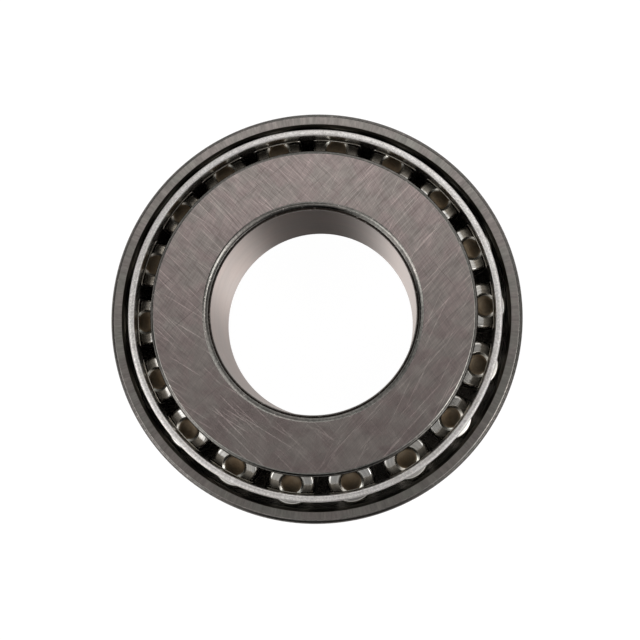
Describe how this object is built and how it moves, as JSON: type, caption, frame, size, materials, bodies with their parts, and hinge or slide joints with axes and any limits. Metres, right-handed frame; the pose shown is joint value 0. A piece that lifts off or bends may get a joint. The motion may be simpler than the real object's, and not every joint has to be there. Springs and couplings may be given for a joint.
{
  "type": "tapered roller bearing",
  "caption": "Single-row tapered roller bearing: cup, cone, stamped steel cage and tapered rollers that roll between conical raceways, for a shaft carrying radial and one-way thrust load.",
  "frame": {"origin": "on the bearing axis, in the plane of the cup back face and the cone front face, which the bearing lies on", "axes": "+Z along the bearing axis, from the cup back face towards the wide cone back face; +X through the middle of the first roller"},
  "size_m": [0.0682, 0.0682, 0.0222],
  "materials": {
    "cup_steel": "ground bearing steel, radial grinding lines on the faces",
    "cone_steel": "ground bearing steel, crossed grinding lines on the back face",
    "cage_steel": "stamped low-carbon sheet steel, tumbled matt",
    "roller_steel": "ground and polished bearing steel, turned dimple in the end"
  },
  "bodies": {
    "cup": {"cup": "cup_steel"},
    "cone": {"cone": "cone_steel"},
    "cage": {"cage": "cage_steel"},
    "roller_01": {"roller_01": "roller_steel"},
    "roller_02": {"roller_02": "roller_steel"},
    "roller_03": {"roller_03": "roller_steel"},
    "roller_04": {"roller_04": "roller_steel"},
    "roller_05": {"roller_05": "roller_steel"},
    "roller_06": {"roller_06": "roller_steel"},
    "roller_07": {"roller_07": "roller_steel"},
    "roller_08": {"roller_08": "roller_steel"},
    "roller_09": {"roller_09": "roller_steel"},
    "roller_10": {"roller_10": "roller_steel"},
    "roller_11": {"roller_11": "roller_steel"},
    "roller_12": {"roller_12": "roller_steel"},
    "roller_13": {"roller_13": "roller_steel"},
    "roller_14": {"roller_14": "roller_steel"},
    "roller_15": {"roller_15": "roller_steel"},
    "roller_16": {"roller_16": "roller_steel"},
    "roller_17": {"roller_17": "roller_steel"},
    "roller_18": {"roller_18": "roller_steel"}
  },
  "joints": [
    {"name": "cone_spin", "type": "hinge", "parent": "cup", "child": "cone", "pos_m": [0, 0, 0.01111], "axis": [0, 0, 1], "continuous": true},
    {"name": "cage_spin", "type": "hinge", "parent": "cup", "child": "cage", "pos_m": [0, 0, 0.01111], "axis": [0, 0, 1], "continuous": true},
    {"name": "roller_01_spin", "type": "hinge", "parent": "cage", "child": "roller_01", "pos_m": [0.02796, 0, 0.01794], "axis": [0.3057, 0, 0.9521], "continuous": true},
    {"name": "roller_02_spin", "type": "hinge", "parent": "cage", "child": "roller_02", "pos_m": [0.02627, 0.00956, 0.01794], "axis": [0.2873, 0.1046, 0.9521], "continuous": true},
    {"name": "roller_03_spin", "type": "hinge", "parent": "cage", "child": "roller_03", "pos_m": [0.02142, 0.01797, 0.01794], "axis": [0.2342, 0.1965, 0.9521], "continuous": true},
    {"name": "roller_04_spin", "type": "hinge", "parent": "cage", "child": "roller_04", "pos_m": [0.01398, 0.02421, 0.01794], "axis": [0.1528, 0.2647, 0.9521], "continuous": true},
    {"name": "roller_05_spin", "type": "hinge", "parent": "cage", "child": "roller_05", "pos_m": [0.00486, 0.02754, 0.01794], "axis": [0.0531, 0.3011, 0.9521], "continuous": true},
    {"name": "roller_06_spin", "type": "hinge", "parent": "cage", "child": "roller_06", "pos_m": [-0.00486, 0.02754, 0.01794], "axis": [-0.0531, 0.3011, 0.9521], "continuous": true},
    {"name": "roller_07_spin", "type": "hinge", "parent": "cage", "child": "roller_07", "pos_m": [-0.01398, 0.02421, 0.01794], "axis": [-0.1528, 0.2647, 0.9521], "continuous": true},
    {"name": "roller_08_spin", "type": "hinge", "parent": "cage", "child": "roller_08", "pos_m": [-0.02142, 0.01797, 0.01794], "axis": [-0.2342, 0.1965, 0.9521], "continuous": true},
    {"name": "roller_09_spin", "type": "hinge", "parent": "cage", "child": "roller_09", "pos_m": [-0.02627, 0.00956, 0.01794], "axis": [-0.2873, 0.1046, 0.9521], "continuous": true},
    {"name": "roller_10_spin", "type": "hinge", "parent": "cage", "child": "roller_10", "pos_m": [-0.02796, 0, 0.01794], "axis": [-0.3057, 0, 0.9521], "continuous": true},
    {"name": "roller_11_spin", "type": "hinge", "parent": "cage", "child": "roller_11", "pos_m": [-0.02627, -0.00956, 0.01794], "axis": [-0.2873, -0.1046, 0.9521], "continuous": true},
    {"name": "roller_12_spin", "type": "hinge", "parent": "cage", "child": "roller_12", "pos_m": [-0.02142, -0.01797, 0.01794], "axis": [-0.2342, -0.1965, 0.9521], "continuous": true},
    {"name": "roller_13_spin", "type": "hinge", "parent": "cage", "child": "roller_13", "pos_m": [-0.01398, -0.02421, 0.01794], "axis": [-0.1528, -0.2647, 0.9521], "continuous": true},
    {"name": "roller_14_spin", "type": "hinge", "parent": "cage", "child": "roller_14", "pos_m": [-0.00486, -0.02754, 0.01794], "axis": [-0.0531, -0.3011, 0.9521], "continuous": true},
    {"name": "roller_15_spin", "type": "hinge", "parent": "cage", "child": "roller_15", "pos_m": [0.00486, -0.02754, 0.01794], "axis": [0.0531, -0.3011, 0.9521], "continuous": true},
    {"name": "roller_16_spin", "type": "hinge", "parent": "cage", "child": "roller_16", "pos_m": [0.01398, -0.02421, 0.01794], "axis": [0.1528, -0.2647, 0.9521], "continuous": true},
    {"name": "roller_17_spin", "type": "hinge", "parent": "cage", "child": "roller_17", "pos_m": [0.02142, -0.01797, 0.01794], "axis": [0.2342, -0.1965, 0.9521], "continuous": true},
    {"name": "roller_18_spin", "type": "hinge", "parent": "cage", "child": "roller_18", "pos_m": [0.02627, -0.00956, 0.01794], "axis": [0.2873, -0.1046, 0.9521], "continuous": true}
  ],
  "couplings": [
    {"joint": "cage_spin", "follows": "cone_spin", "ratio": 0.43428},
    {"joint": "roller_01_spin", "follows": "cone_spin", "ratio": -3.5592},
    {"joint": "roller_02_spin", "follows": "cone_spin", "ratio": -3.5592},
    {"joint": "roller_03_spin", "follows": "cone_spin", "ratio": -3.5592},
    {"joint": "roller_04_spin", "follows": "cone_spin", "ratio": -3.5592},
    {"joint": "roller_05_spin", "follows": "cone_spin", "ratio": -3.5592},
    {"joint": "roller_06_spin", "follows": "cone_spin", "ratio": -3.5592},
    {"joint": "roller_07_spin", "follows": "cone_spin", "ratio": -3.5592},
    {"joint": "roller_08_spin", "follows": "cone_spin", "ratio": -3.5592},
    {"joint": "roller_09_spin", "follows": "cone_spin", "ratio": -3.5592},
    {"joint": "roller_10_spin", "follows": "cone_spin", "ratio": -3.5592},
    {"joint": "roller_11_spin", "follows": "cone_spin", "ratio": -3.5592},
    {"joint": "roller_12_spin", "follows": "cone_spin", "ratio": -3.5592},
    {"joint": "roller_13_spin", "follows": "cone_spin", "ratio": -3.5592},
    {"joint": "roller_14_spin", "follows": "cone_spin", "ratio": -3.5592},
    {"joint": "roller_15_spin", "follows": "cone_spin", "ratio": -3.5592},
    {"joint": "roller_16_spin", "follows": "cone_spin", "ratio": -3.5592},
    {"joint": "roller_17_spin", "follows": "cone_spin", "ratio": -3.5592},
    {"joint": "roller_18_spin", "follows": "cone_spin", "ratio": -3.5592}
  ]
}
